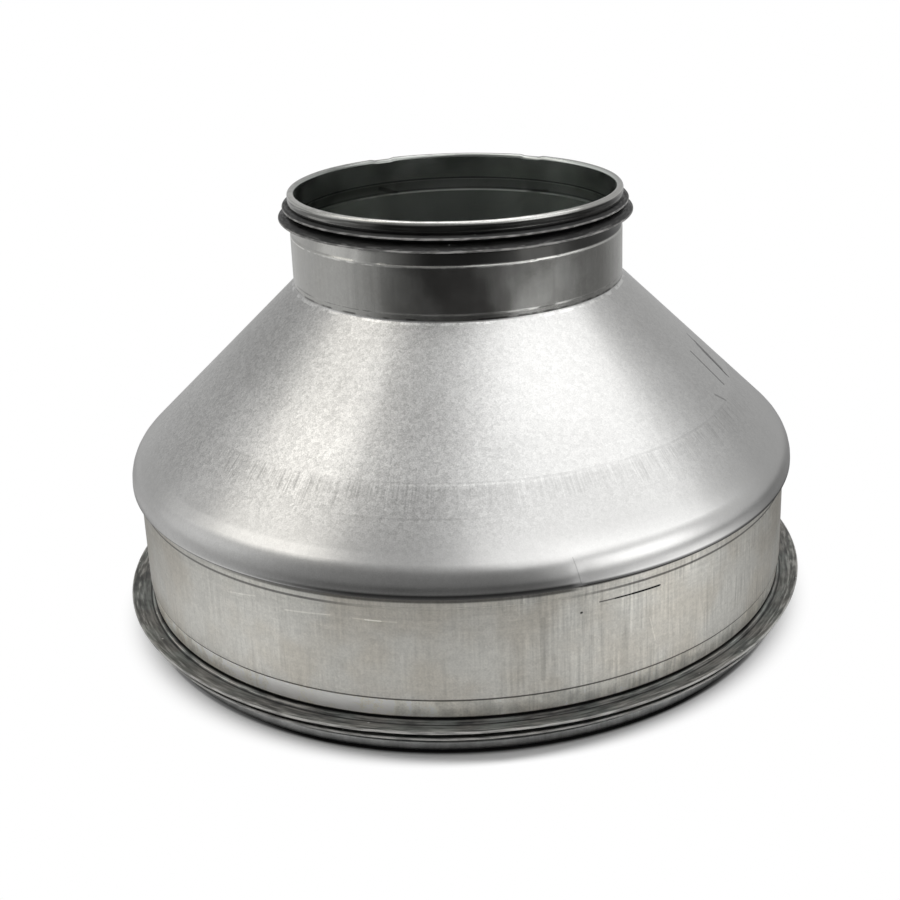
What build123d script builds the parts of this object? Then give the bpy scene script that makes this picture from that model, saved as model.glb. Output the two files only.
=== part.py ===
"""Concentric round duct reducer with a double-lip rubber seal on each spigot.

The part stands on its large end: the axis is +Z and the large rim lies at z = 0. Sizes are in millimetres.
"""
import math
import os

from build123d import *

# Sheet steel of the body
sheet = 0.6                     # thickness of the sheet
large_collar_r = 124.6          # outside radius of the large spigot, for a 250 mm duct
small_tube_r = 62.1             # outside radius of the small spigot, for a 125 mm duct

# Heights, each measured from the one before it
large_spigot_length = 55.3      # large rim to the fold under the shoulder
cone_height = 63.5              # shoulder corner to neck corner
small_spigot_length = 35.0      # neck corner to small rim

# Shoulder and neck bends, radii at the middle of the sheet
shoulder_overhang = 2.6         # how far the shoulder stands out beyond the collar
shoulder_bend = 12.1
shoulder_band = 0.3             # straight wall left between the shoulder's two bends
fold_drop = 1.2                 # height of the fold that steps in under the shoulder
fold_bend = 0.9
neck_bend = 1.5
crisp = 0.0                     # a corner pressed sharp by the tool

# Seal seats: a step in the wall, a ramp, and a straight seat up to the hemmed rim
seat_depth = 1.8                # how far the seat lies inside the spigot's outside face
ledge_depth = 0.8               # the sharp part of the step
ledge_height = 0.7
small_ramp_length = 5.6         # step edge to the straight seat
large_ramp_length = 7.3
hem_length = 3.5                # length of the rim's folded-back leg
hem_roundness = 0.47            # bend radius of the hem's crown, as a share of its width

# Marks of the expander that opened the small spigot
jaw_count = 6
jaw_gap_angle = 7.6             # unexpanded strip between two jaws, in degrees
jaw_gap_heading = -61.0         # middle of the first strip, in degrees about +Z from +X
jaw_lift = 0.35                 # how far the jaws pushed the wall out
jaw_foot = 2.4                  # neck corner to the lower edge of the jaw marks
jaw_edge = 0.6                  # height of the slope at that edge

# Rubber seals: a flat band under the hem, with two lips that lean away from the rim
seal_fit = 0.05                 # gap between the rubber and the sheet on each side
crown_clearance = 0.4           # bend of the hem's crown to the near end of the band
band_tail = 1.2                 # length of band past the second lip's root
tail_clearance = 0.6            # far end of the band to the foot of the ramp
small_band = 1.4                # thickness of the band
large_band = 1.8
lip_tip = 0.8                   # thickness of a lip at its tip
tip_slant = 0.2                 # how far the tip's far edge lies inside its near edge
# Each lip: hem edge to its root, thickness of its root, height above the spigot, lean of its tip
small_lips = [(0.6, 1.1, 2.8, 1.1), (3.2, 1.6, 4.0, 2.5)]
large_lips = [(0.8, 1.5, 5.7, 2.3), (4.2, 1.9, 7.6, 3.3)]


def band_end(lips):
    """Distance from the rim to the far end of a seal's band."""
    last_root, last_thickness = lips[-1][:2]
    return hem_length + last_root + last_thickness + band_tail


def crown_bend(band):
    """Bend radius of a hem's crown, from the thickness of the band that it holds."""
    return hem_roundness * (sheet + band + 2 * seal_fit)


def bend_run(bend, turn):
    """Length that a bend of this radius and angle takes up on each of its two runs."""
    return bend * math.tan(turn / 2)


# Mid-sheet radii, bend angles and heights that follow from these sizes
half = sheet / 2
collar_mid = large_collar_r - half
shoulder_mid = collar_mid + shoulder_overhang
tube_mid = small_tube_r - half
rest_mid = tube_mid - jaw_lift
small_seat_mid = tube_mid - seat_depth
large_seat_mid = collar_mid - seat_depth
cone_turn = math.atan2(shoulder_mid - rest_mid, cone_height)
fold_turn = math.atan2(shoulder_overhang, fold_drop)
shoulder_run = bend_run(fold_bend, fold_turn) + shoulder_band + bend_run(shoulder_bend, cone_turn)
shoulder_z = large_spigot_length + fold_drop + shoulder_run
neck_z = shoulder_z + cone_height
top_z = neck_z + small_spigot_length
small_seat_end = top_z - band_end(small_lips) - tail_clearance
small_step_z = small_seat_end - small_ramp_length
large_seat_end = band_end(large_lips) + tail_clearance
large_step_z = large_seat_end + large_ramp_length
jaw_zone_bottom = neck_z + jaw_foot - jaw_edge
jaw_zone_top = small_seat_end + tail_clearance


def beside(corners, distance):
    """Corner points of the line that runs at a distance to the left of a bent line."""
    points = [Vector(*corner) for corner in corners]
    runs = [(end - start).normalized() for start, end in zip(points, points[1:])]
    normals = [Vector(-run.Y, run.X) for run in runs]
    before = [normals[0]] + normals
    after = normals + [normals[-1]]
    return [
        point + (first + second) * (distance / (1 + first.dot(second)))
        for point, first, second in zip(points, before, after)
    ]


def turns_left(corners):
    """For each inner corner, whether the line turns to the left there."""
    points = [Vector(*corner) for corner in corners]
    runs = [end - start for start, end in zip(points, points[1:])]
    return [first.cross(second).Z > 0 for first, second in zip(runs, runs[1:])]


def bent_sheet(corners, bends):
    """Section of bent sheet of even thickness, from its mid-line's corners and bend radii."""
    left_bends = []
    right_bends = []
    for bend, left_turn in zip(bends, turns_left(corners)):
        inside = max(bend - half, crisp)
        outside = bend + half if inside else crisp
        left_bends.append(inside if left_turn else outside)
        right_bends.append(outside if left_turn else inside)
    left = beside(corners, half)
    right = beside(corners, -half)
    outline = [
        FilletPolyline(*left, radius=left_bends),
        Line(left[-1], right[-1]),
        FilletPolyline(*right, radius=right_bends),
        Line(right[0], left[0]),
    ]
    return make_face(Curve() + outline)


def turned(section, start=0.0, angle=360.0):
    """Solid of revolution of an (r, z) section, over an angle about +Z from a heading."""
    return revolve(Rot(0, 0, start) * (Plane.XZ * section), Axis.Z, angle)


def hem(seat_mid, band, rim_z, inward):
    """Mid-line corners and bends of a rim folded back outwards over the seal's band."""
    crown_z = rim_z + inward * half
    hem_mid = seat_mid + sheet + band + 2 * seal_fit
    corners = [(seat_mid, crown_z), (hem_mid, crown_z), (hem_mid, rim_z + inward * hem_length)]
    return corners, [crown_bend(band), crown_bend(band)]


def body_below_jaws():
    """Neck, cone, shoulder, collar, large seal seat and large hem, turned as one ring."""
    rim_corners, rim_bends = hem(large_seat_mid, large_band, 0.0, 1)
    corners = [
        (rest_mid, jaw_zone_bottom),
        (rest_mid, neck_z),
        (shoulder_mid, shoulder_z),
        (shoulder_mid, large_spigot_length + fold_drop),
        (collar_mid, large_spigot_length),
        (collar_mid, large_step_z),
        (collar_mid - ledge_depth, large_step_z - ledge_height),
        (large_seat_mid, large_seat_end),
    ]
    bends = [neck_bend, shoulder_bend, fold_bend, crisp, crisp, crisp, crisp]
    return turned(bent_sheet(corners + rim_corners, bends + rim_bends))


def body_above_jaws():
    """Straight small seal seat and small hem, turned as one ring."""
    rim_corners, rim_bends = hem(small_seat_mid, small_band, top_z, -1)
    return turned(bent_sheet([(small_seat_mid, jaw_zone_top)] + rim_corners, rim_bends))


def jaw_strip():
    """Section of the small spigot where a jaw pushed the wall out."""
    corners = [
        (rest_mid, jaw_zone_bottom),
        (rest_mid, neck_z + jaw_foot),
        (tube_mid, neck_z + jaw_foot + jaw_edge),
        (tube_mid, small_step_z),
        (tube_mid - ledge_depth, small_step_z + ledge_height),
        (small_seat_mid, small_seat_end),
        (small_seat_mid, jaw_zone_top),
    ]
    return bent_sheet(corners, [crisp] * 5)


def gap_strip():
    """Section of the small spigot between two jaws, with a soft step."""
    corners = [
        (rest_mid, jaw_zone_bottom),
        (rest_mid, small_step_z),
        (small_seat_mid, small_seat_end),
        (small_seat_mid, jaw_zone_top),
    ]
    return bent_sheet(corners, [crisp] * 2)


def reducer_body():
    """The pressed body: two full rings and the strips of the expanded spigot between them, as one solid."""
    pitch = 360.0 / jaw_count
    gap = gap_strip()
    jaw = jaw_strip()
    strips = []
    for number in range(jaw_count):
        gap_start = jaw_gap_heading + number * pitch - jaw_gap_angle / 2
        strips.append(turned(gap, gap_start, jaw_gap_angle))
        strips.append(turned(jaw, gap_start + jaw_gap_angle, pitch - jaw_gap_angle))
    return (body_below_jaws() + strips + body_above_jaws()).clean()


def lip_outline(band_face, spigot_r, lip):
    """Corners of one lip as (r, distance from the rim), from its near root to its far root."""
    hem_to_root, root_thickness, height, lean = lip
    root = hem_length + hem_to_root
    tip_r = spigot_r + height
    return [
        (band_face, root),
        (tip_r, root + lean),
        (tip_r - tip_slant, root + lean + lip_tip),
        (band_face, root + root_thickness),
    ]


def lip_seal(spigot_r, band, lips, rim_z, inward):
    """A seal ring: its band lies on the seat, and its lips stand out past the spigot."""
    inner = spigot_r - seat_depth + seal_fit
    outer = inner + band
    near_end = half + crown_bend(band) + crown_clearance
    corners = [(inner, near_end), (outer, near_end)]
    for lip in lips:
        corners += lip_outline(outer, spigot_r, lip)
    corners += [(outer, band_end(lips)), (inner, band_end(lips))]
    placed = [(r, rim_z + inward * distance) for r, distance in corners]
    return turned(make_face(Polyline(*placed, close=True)))


parts = {
    "reducer_body": reducer_body(),
    "small_end_seal": lip_seal(small_tube_r, small_band, small_lips, top_z, -1),
    "large_end_seal": lip_seal(large_collar_r, large_band, large_lips, 0.0, 1),
}

os.makedirs("parts", exist_ok=True)
for name, solid in parts.items():
    export_step(solid, f"parts/{name}.step")
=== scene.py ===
"""Dressed model of a round duct reducer: a pressed galvanised body and two rubber lip seals, in a studio."""
import math

import bmesh
import bpy
from mathutils import Matrix, Vector


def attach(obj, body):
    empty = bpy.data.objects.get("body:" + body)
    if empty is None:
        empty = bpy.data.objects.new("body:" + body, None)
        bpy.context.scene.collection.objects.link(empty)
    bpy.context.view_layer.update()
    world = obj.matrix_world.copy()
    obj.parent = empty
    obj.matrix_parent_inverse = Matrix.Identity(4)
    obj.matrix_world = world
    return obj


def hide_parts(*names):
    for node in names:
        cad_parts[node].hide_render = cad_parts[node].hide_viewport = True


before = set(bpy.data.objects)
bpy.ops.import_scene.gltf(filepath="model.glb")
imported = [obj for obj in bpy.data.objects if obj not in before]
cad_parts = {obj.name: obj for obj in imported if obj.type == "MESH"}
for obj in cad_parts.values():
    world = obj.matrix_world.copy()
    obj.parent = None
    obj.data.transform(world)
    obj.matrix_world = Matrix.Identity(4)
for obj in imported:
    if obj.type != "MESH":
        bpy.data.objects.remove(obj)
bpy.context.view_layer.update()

MM = 0.001

# Body, in millimetres: as the solid, with a softer ledge and fainter jaw marks
SHEET = 0.6
HALF = SHEET / 2
COLLAR_R = 124.6
TUBE_R = 62.1
LARGE_SPIGOT = 55.3
CONE_HEIGHT = 63.5
SMALL_SPIGOT = 35.0
SHOULDER_OVERHANG = 2.6
SHOULDER_BEND = 12.1
SHOULDER_BAND = 0.3
FOLD_DROP = 1.2
FOLD_BEND = 0.9
FOLD_EDGE = 0.45
NECK_BEND = 1.5
SHARP_BEND = 0.4
FACET_RISE = 0.22
FACET_HEIGHT = 3.4
LARGE_LEDGE = 0.45
RAMP_FOOT = 0.85
SEAT_DEPTH = 1.8
LEDGE_DEPTH = 0.5
LEDGE_HEIGHT = 0.7
SMALL_RAMP = 5.6
LARGE_RAMP = 7.3
HEM_LENGTH = 3.5
HEM_ROUNDNESS = 0.47
RIM_KINK = 0.45
DENT_SLACK = 1.2

# Marks of the six jaws that opened the small spigot, in millimetres and degrees
JAW_COUNT = 6
JAW_LIFT = 0.35
JAW_MARK = 0.08
JAW_FOOT = 2.4
JAW_EDGE = 0.6
STRIP_ANGLE = 10.0
STRIP_HEADING = -61.0
STRIP_EDGE = 2.2

# Crease in the shoulder, in degrees from the front, + to the right, and the dent to its right
FRONT_HEADING = -90.0
CREASE = 15.8
CREASE_WIDTH = 2.0
DENT_ANGLE = 48.0

# Seals, in millimetres
SEAL_FIT = 0.05
CROWN_CLEARANCE = 0.4
BAND_TAIL = 1.2
TAIL_CLEARANCE = 0.6
SMALL_BAND = 1.4
LARGE_BAND = 1.8
LIP_TIP = 0.8
TIP_SLANT = 0.2
TIP_BEND = 0.36
BAND_EDGE = 0.1
LIP_ROOT_BEND = 0.5
LIP_BOW = 0.25
LIP_BOW_BEND = 3.0
# Each lip: hem edge to its root, thickness of its root, height above the spigot, lean of its tip
SMALL_LIPS = [(0.6, 1.1, 2.4, 1.1), (3.2, 1.6, 4.0, 2.5)]
LARGE_LIPS = [(0.8, 1.5, 5.7, 3.3), (4.2, 1.9, 7.6, 3.3)]

# Waves along the rim and the lips: their height in millimetres, and how closely they follow each other
RIM_RIPPLE = (0.2, 3.0)
SMALL_LIP_RIPPLE = (0.4, 4.0)
LARGE_LIP_RIPPLE = (0.6, 4.0)

# How finely the profiles and rings are divided
RING_SEGMENTS = 360
CORNER_STEPS = 5
SHARP_STEPS = 3
RUN_STEP = 30.0
EDGE_LOOP = 0.25
LEAST_SETBACK = 0.12
LEAST_TURN = 0.001
JOIN_DISTANCE = 0.000002


def band_end(lips):
    """Distance from the rim to the far end of a seal's band."""
    last_root, last_thickness = lips[-1][:2]
    return HEM_LENGTH + last_root + last_thickness + BAND_TAIL


def crown_bend(band):
    """Bend radius of a hem's crown, from the thickness of the band that it holds."""
    return HEM_ROUNDNESS * (SHEET + band + 2 * SEAL_FIT)


# Mid-sheet radii and heights that follow from the sizes
COLLAR_MID = COLLAR_R - HALF
SHOULDER_MID = COLLAR_MID + SHOULDER_OVERHANG
TUBE_MID = TUBE_R - HALF
SMALL_SEAT_MID = TUBE_MID - SEAT_DEPTH
LARGE_SEAT_MID = COLLAR_MID - SEAT_DEPTH
CONE_TURN = math.atan2(SHOULDER_MID - TUBE_MID + JAW_LIFT, CONE_HEIGHT)
FOLD_TURN = math.atan2(SHOULDER_OVERHANG, FOLD_DROP)
SHOULDER_RUN = FOLD_BEND * math.tan(FOLD_TURN / 2) + SHOULDER_BAND + SHOULDER_BEND * math.tan(CONE_TURN / 2)
SHOULDER_Z = LARGE_SPIGOT + FOLD_DROP + SHOULDER_RUN
NECK_Z = SHOULDER_Z + CONE_HEIGHT
TOP_Z = NECK_Z + SMALL_SPIGOT
SMALL_HEM_Z = TOP_Z - HEM_LENGTH
SMALL_SEAT_END = TOP_Z - band_end(SMALL_LIPS) - TAIL_CLEARANCE
SMALL_STEP_Z = SMALL_SEAT_END - SMALL_RAMP
LARGE_SEAT_END = band_end(LARGE_LIPS) + TAIL_CLEARANCE
LARGE_STEP_Z = LARGE_SEAT_END + LARGE_RAMP
FACET_END_Z = LARGE_SPIGOT - FACET_HEIGHT

# Heights where one zinc finish meets the next
TUBE_FOOT_Z = NECK_Z + 0.4
COLLAR_TOP_Z = LARGE_SPIGOT + 0.2

# Profiles in (r, z), rounded at their corners


def turned_by(direction, angle):
    """A direction in the (r, z) plane turned to the left by an angle."""
    return Vector((
        direction.x * math.cos(angle) - direction.y * math.sin(angle),
        direction.x * math.sin(angle) + direction.y * math.cos(angle),
    ))


def corner_arc(corner, before, after, bend):
    """Points round one corner, each with its direction of travel."""
    turn = math.atan2(before.x * after.y - before.y * after.x, before.dot(after))
    setback = max(bend * abs(math.tan(turn / 2)), LEAST_SETBACK)
    start = corner - before * setback
    left = turned_by(before, math.pi / 2)
    steps = SHARP_STEPS if bend == SHARP_BEND else CORNER_STEPS
    points = []
    for step in range(steps + 1):
        share = step / steps
        if abs(turn) < LEAST_TURN:
            spot = start + before * (2 * setback * share)
        else:
            radius = setback / math.tan(turn / 2)
            spot = start + left * radius - turned_by(left, turn * share) * radius
        points.append((spot, turned_by(before, turn * share)))
    return points


def run_shares(length):
    """Where points lie along a straight run: close to both ends, and evenly in the middle."""
    if length < 4 * EDGE_LOOP:
        return [0.5]
    edge = EDGE_LOOP / length
    count = math.ceil(length / RUN_STEP)
    return [edge] + [number / count for number in range(1, count)] + [1 - edge]


def rounded_line(corners, bends, closed=False, plan=None):
    """Points and directions along a line with rounded corners. A plan keeps lines alike, point for point."""
    spots = [Vector(corner) for corner in corners]
    count = len(spots)
    last = count if closed else count - 1
    runs = [(spots[(number + 1) % count] - spots[number]).normalized() for number in range(last)]
    arcs = {}
    for number in range(count):
        if closed or 0 < number < count - 1:
            arcs[number] = corner_arc(spots[number], runs[number - 1], runs[number % last], bends[number])
    line = []
    shares = []
    for number in range(last):
        following = (number + 1) % count
        line += arcs.get(number, [(spots[number], runs[number])])
        start = line[-1][0]
        end = arcs[following][0][0] if following in arcs else spots[following]
        shares.append(plan[number] if plan else run_shares((end - start).length))
        line += [(start.lerp(end, share), runs[number]) for share in shares[-1]]
    if not closed:
        line.append((spots[-1], runs[-1]))
    return line, shares


def body_corners(expanded=True, slack=0.0, rim_drop=0.0):
    """Mid-sheet corners of the body, with bends, from the small hem's edge to the large hem's edge."""
    rest = TUBE_MID - JAW_MARK
    tube = TUBE_MID if expanded else rest
    soft_share = LEDGE_HEIGHT / SMALL_RAMP
    step_inner = tube - LEDGE_DEPTH if expanded else tube + (SMALL_SEAT_MID - tube) * soft_share
    small_hem = SMALL_SEAT_MID + SHEET + SMALL_BAND + 2 * SEAL_FIT
    large_hem = LARGE_SEAT_MID + SHEET + LARGE_BAND + 2 * SEAL_FIT
    rim = TOP_Z - rim_drop
    return [
        (small_hem, rim - HEM_LENGTH, SHARP_BEND),
        (small_hem, rim - HALF, crown_bend(SMALL_BAND)),
        (SMALL_SEAT_MID, rim - HALF, crown_bend(SMALL_BAND)),
        (SMALL_SEAT_MID, SMALL_SEAT_END, SHARP_BEND),
        (step_inner, SMALL_STEP_Z + LEDGE_HEIGHT, SHARP_BEND),
        (tube, SMALL_STEP_Z, SHARP_BEND),
        (tube, NECK_Z + JAW_FOOT + JAW_EDGE, SHARP_BEND),
        (rest, NECK_Z + JAW_FOOT, SHARP_BEND),
        (rest, NECK_Z, NECK_BEND),
        (SHOULDER_MID - slack, SHOULDER_Z + slack / math.tan(CONE_TURN), SHOULDER_BEND),
        (SHOULDER_MID, LARGE_SPIGOT + FOLD_DROP, FOLD_EDGE),
        (COLLAR_MID + FACET_RISE, LARGE_SPIGOT, SHARP_BEND),
        (COLLAR_MID + FACET_RISE, FACET_END_Z + FACET_RISE, SHARP_BEND),
        (COLLAR_MID, FACET_END_Z - FACET_RISE, SHARP_BEND),
        (COLLAR_MID, LARGE_STEP_Z, SHARP_BEND),
        (COLLAR_MID - LARGE_LEDGE, LARGE_STEP_Z - LARGE_LEDGE, SHARP_BEND),
        (COLLAR_MID - RAMP_FOOT, LARGE_SEAT_END + SHEET, SHARP_BEND),
        (LARGE_SEAT_MID, LARGE_SEAT_END - HALF, SHARP_BEND),
        (LARGE_SEAT_MID, HALF, crown_bend(LARGE_BAND)),
        (large_hem, HALF, crown_bend(LARGE_BAND)),
        (large_hem, HEM_LENGTH, SHARP_BEND),
    ]


def sheet_outline(rows, plan=None):
    """Closed outline of even sheet along a mid-line, how far each point faces inside, and its plan."""
    line, plan = rounded_line([row[:2] for row in rows], [row[2] for row in rows], plan=plan)
    offsets = [turned_by(direction, math.pi / 2) * HALF for _, direction in line]
    left = [spot + offset for (spot, _), offset in zip(line, offsets)]
    right = [spot - offset for (spot, _), offset in zip(line, offsets)]
    outward = [offset.x / HALF for offset in offsets] + [-offset.x / HALF for offset in offsets[::-1]]
    inside = [max(0.0, -share) for share in outward]
    return left + right[::-1] + left[:1], inside + inside[:1], plan


def seal_outline(spigot_r, band, lips, rim_z, inward):
    """Closed outline of a seal, its band and its bowed lips, and the places of the lip tips."""
    inner = spigot_r - SEAT_DEPTH + SEAL_FIT
    outer = inner + band
    near_end = HALF + crown_bend(band) + CROWN_CLEARANCE
    rows = [(inner, near_end, BAND_EDGE), (outer, near_end, BAND_EDGE)]
    tips = []
    for hem_to_root, root_thickness, height, lean in lips:
        root = HEM_LENGTH + hem_to_root
        tip_r = spigot_r + height
        middle_r = (outer + tip_r) / 2
        rows += [
            (outer, root, LIP_ROOT_BEND),
            (middle_r, root + lean / 2 - LIP_BOW, LIP_BOW_BEND),
            (tip_r, root + lean, TIP_BEND),
            (tip_r - TIP_SLANT, root + lean + LIP_TIP, TIP_BEND),
            (middle_r, root + (root_thickness + lean + LIP_TIP) / 2 - LIP_BOW, LIP_BOW_BEND),
            (outer, root + root_thickness, LIP_ROOT_BEND),
        ]
        tips.append(Vector((tip_r, rim_z + inward * (root + lean + LIP_TIP / 2))))
    rows += [(outer, band_end(lips), BAND_EDGE), (inner, band_end(lips), BAND_EDGE)]
    corners = [(r, rim_z + inward * distance) for r, distance, _ in rows]
    line, _ = rounded_line(corners, [bend for _, _, bend in rows], closed=True)
    points = [spot for spot, _ in line]
    return points + points[:1], tips


# Building node trees


def add(kind, inputs, **settings):
    """A new node in its inputs' tree, with its settings, and its inputs linked or set by name or number."""
    tree = next(value.id_data for value in inputs.values() if isinstance(value, bpy.types.NodeSocket))
    node = tree.nodes.new(kind)
    for name, value in settings.items():
        setattr(node, name, value)
    for name, value in inputs.items():
        plug(node.inputs[name], value)
    return node


def plug(socket, value):
    """Links a socket to another one, or sets it to a plain value."""
    if isinstance(value, bpy.types.NodeSocket):
        socket.id_data.links.new(value, socket)
    else:
        socket.default_value = value


def calc(operation, *values, clamp=False):
    """Output of a Math node."""
    return add("ShaderNodeMath", dict(enumerate(values)), operation=operation, use_clamp=clamp).outputs[0]


def product(value, *factors):
    """A value multiplied by each factor."""
    for factor in factors:
        value = calc("MULTIPLY", value, factor)
    return value


def total(value, *others):
    """A value with the others added to it."""
    for other in others:
        value = calc("ADD", value, other)
    return value


def vector_calc(operation, *values, output="Vector"):
    """Output of a Vector Math node."""
    names = (0, "Scale") if operation == "SCALE" else (0, 1)
    return add("ShaderNodeVectorMath", dict(zip(names, values)), operation=operation).outputs[output]


def between(value, low, high, to_low=0.0, to_high=1.0, smooth=True):
    """A value mapped from one range to another, held at both ends."""
    ranges = {"Value": value, "From Min": low, "From Max": high, "To Min": to_low, "To Max": to_high}
    kind = "SMOOTHSTEP" if smooth else "LINEAR"
    return add("ShaderNodeMapRange", ranges, interpolation_type=kind).outputs["Result"]


def within(value, rise, fall):
    """1 inside a range with soft ends, each given as (start, end), and 0 outside it."""
    return product(between(value, *rise), between(value, *fall, 1.0, 0.0))


def open_group(name, kind, inputs, outputs):
    """A new node group with named sockets, and the sockets inside it."""
    tree = bpy.data.node_groups.new(name, kind)
    for direction, sockets in (("INPUT", inputs), ("OUTPUT", outputs)):
        for socket, value_kind in sockets.items():
            tree.interface.new_socket(name=socket, in_out=direction, socket_type=f"NodeSocket{value_kind}")
    return tree, tree.nodes.new("NodeGroupInput").outputs, tree.nodes.new("NodeGroupOutput").inputs


# Rings turned from a profile
PROFILES = ("Profile", "Strip Profile", "Dented Profile", "Kinked Profile")
MATERIALS = ("Upper Material", "Middle Material", "Lower Material")
RING_NUMBERS = (
    "Strip Angle", "Strip Heading", "Strip Edge", "Crease Heading", "Crease Width", "Dent Angle",
    "Ripple", "Ripple Scale", "Upper Break", "Lower Break",
)
RING_INPUTS = {
    **dict.fromkeys(PROFILES, "Object"),
    **dict.fromkeys(("Profile Points", "Segments", "Strips"), "Int"),
    **dict.fromkeys(RING_NUMBERS, "Float"),
    **dict.fromkeys(MATERIALS, "Material"),
}
PROFILE_FIELDS = ("give", "wear", "inner")
BACK_HALF = (0.0, 0.3)


def turned_ring_tree():
    """Geometry Nodes tree that turns a profile about +Z, with others in its strips, dent and rim kinks."""
    tree, given, result = open_group("turned_ring", "GeometryNodeTree", RING_INPUTS, {"Geometry": "Geometry"})
    full_turn = 2 * math.pi
    columns = calc("ADD", given["Segments"], 1.0)
    grid = add("GeometryNodeMeshGrid", {"Vertices X": columns, "Vertices Y": given["Profile Points"]})
    index = tree.nodes.new("GeometryNodeInputIndex").outputs[0]
    row = calc("FLOOR", calc("DIVIDE", calc("ADD", index, 0.5), given["Profile Points"]))
    column = calc("SUBTRACT", index, product(row, given["Profile Points"]))
    angle = product(calc("DIVIDE", row, given["Segments"]), full_turn)
    position = tree.nodes.new("GeometryNodeInputPosition").outputs[0]
    fields = {}
    for name in PROFILE_FIELDS:
        field = tree.nodes.new("GeometryNodeInputNamedAttribute")
        field.data_type = "FLOAT"
        field.inputs["Name"].default_value = name
        fields[name] = field.outputs["Attribute"]

    def sampled(profile, field, kind="FLOAT"):
        shape = add("GeometryNodeObjectInfo", {"Object": given[profile]}).outputs["Geometry"]
        picks = {"Geometry": shape, "Value": field, "Index": column}
        return add("GeometryNodeSampleIndex", picks, data_type=kind, domain="POINT").outputs[0]

    def strip_mask():
        pitch = calc("DIVIDE", full_turn, given["Strips"])
        half_pitch = product(pitch, 0.5)
        away = calc("SUBTRACT", angle, given["Strip Heading"])
        away = calc("WRAP", away, half_pitch, product(half_pitch, -1.0))
        half_strip = product(given["Strip Angle"], 0.5)
        flat = calc("SUBTRACT", half_strip, given["Strip Edge"])
        return between(calc("ABSOLUTE", away), flat, half_strip, 1.0, 0.0)

    def shift_to(profile, mask):
        way = vector_calc("SUBTRACT", sampled(profile, position, "FLOAT_VECTOR"), pressed)
        return vector_calc("SCALE", way, mask)

    pressed = sampled("Profile", position, "FLOAT_VECTOR")
    strips = strip_mask()
    past_crease = calc("WRAP", calc("SUBTRACT", angle, given["Crease Heading"]), math.pi, -math.pi)
    dent = product(
        between(past_crease, 0.0, given["Crease Width"]),
        between(past_crease, given["Crease Width"], given["Dent Angle"], 1.0, 0.0),
    )
    back_strips = product(strips, between(calc("SINE", angle), *BACK_HALF))
    section = pressed
    for profile, mask in zip(PROFILES[1:], (strips, dent, back_strips)):
        section = vector_calc("ADD", section, shift_to(profile, mask))

    around = add("ShaderNodeCombineXYZ", {0: calc("COSINE", angle), 1: calc("SINE", angle)})
    waves = {"Vector": around.outputs[0], "Scale": given["Ripple Scale"], "Detail": 2.0}
    wave = calc("SUBTRACT", add("ShaderNodeTexNoise", waves).outputs[0], 0.5)
    sway = product(wave, given["Ripple"], sampled("Profile", fields["give"]))
    section = vector_calc("ADD", section, add("ShaderNodeCombineXYZ", {2: sway}).outputs[0])
    turn = {"Vector": section, "Axis": (0.0, 0.0, 1.0), "Angle": angle}
    turned = add("ShaderNodeVectorRotate", turn, rotation_type="AXIS_ANGLE").outputs[0]

    ring = add("GeometryNodeSetPosition", {"Geometry": grid.outputs["Mesh"], "Position": turned})
    for name in ("wear", "inner"):
        stored = {"Geometry": ring.outputs[0], "Name": name, "Value": sampled("Profile", fields[name])}
        ring = add("GeometryNodeStoreNamedAttribute", stored, data_type="FLOAT", domain="POINT")
    ring = add("GeometryNodeMergeByDistance", {"Geometry": ring.outputs[0], "Distance": JOIN_DISTANCE})
    ring = add("GeometryNodeSetShadeSmooth", {"Geometry": ring.outputs[0]})
    ring = add("GeometryNodeRealizeInstances", {"Geometry": ring.outputs[0]})
    height = add("ShaderNodeSeparateXYZ", {0: position}).outputs["Z"]
    ring = add("GeometryNodeSetMaterial", {"Geometry": ring.outputs[0], "Material": given["Middle Material"]})
    for name, operation in (("Upper", "GREATER_THAN"), ("Lower", "LESS_THAN")):
        part = calc(operation, height, given[f"{name} Break"])
        zone = {"Geometry": ring.outputs[0], "Selection": part, "Material": given[f"{name} Material"]}
        ring = add("GeometryNodeSetMaterial", zone)
    plug(result["Geometry"], ring.outputs[0])
    return tree


def profile_object(name, points, **fields):
    """A profile as a row of vertices, with a value for each vertex in each named field."""
    mesh = bpy.data.meshes.new(name)
    mesh.from_pydata([(spot.x * MM, 0.0, spot.y * MM) for spot in points], [], [])
    for field in PROFILE_FIELDS:
        values = fields.get(field, [0.0] * len(points))
        mesh.attributes.new(field, "FLOAT", "POINT").data.foreach_set("value", values)
    made = bpy.data.objects.new(name, mesh)
    bpy.context.scene.collection.objects.link(made)
    return made


def turned_piece(name, tree, profiles, settings):
    """A finished ring as a plain mesh, made by the tree from its profiles and settings."""
    holder = bpy.data.objects.new(f"{name}_source", bpy.data.meshes.new(f"{name}_source"))
    bpy.context.scene.collection.objects.link(holder)
    modifier = holder.modifiers.new("turned", "NODES")
    modifier.node_group = tree
    values = {**dict(zip(PROFILES, profiles)), **settings}
    values["Profile Points"] = len(profiles[0].data.vertices)
    values["Segments"] = RING_SEGMENTS
    for item in tree.interface.items_tree:
        if item.in_out == "INPUT" and item.name in values:
            modifier[item.identifier] = values[item.name]
    bpy.context.view_layer.update()
    evaluated = holder.evaluated_get(bpy.context.evaluated_depsgraph_get())
    mesh = bpy.data.meshes.new_from_object(evaluated)
    bpy.data.objects.remove(holder)
    shell = bmesh.new()
    shell.from_mesh(mesh)
    bmesh.ops.recalc_face_normals(shell, faces=shell.faces)
    shell.to_mesh(mesh)
    shell.free()
    mesh.name = name
    piece = bpy.data.objects.new(name, mesh)
    bpy.context.scene.collection.objects.link(piece)
    for profile in set(profiles):
        bpy.data.objects.remove(profile)
    return piece


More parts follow.
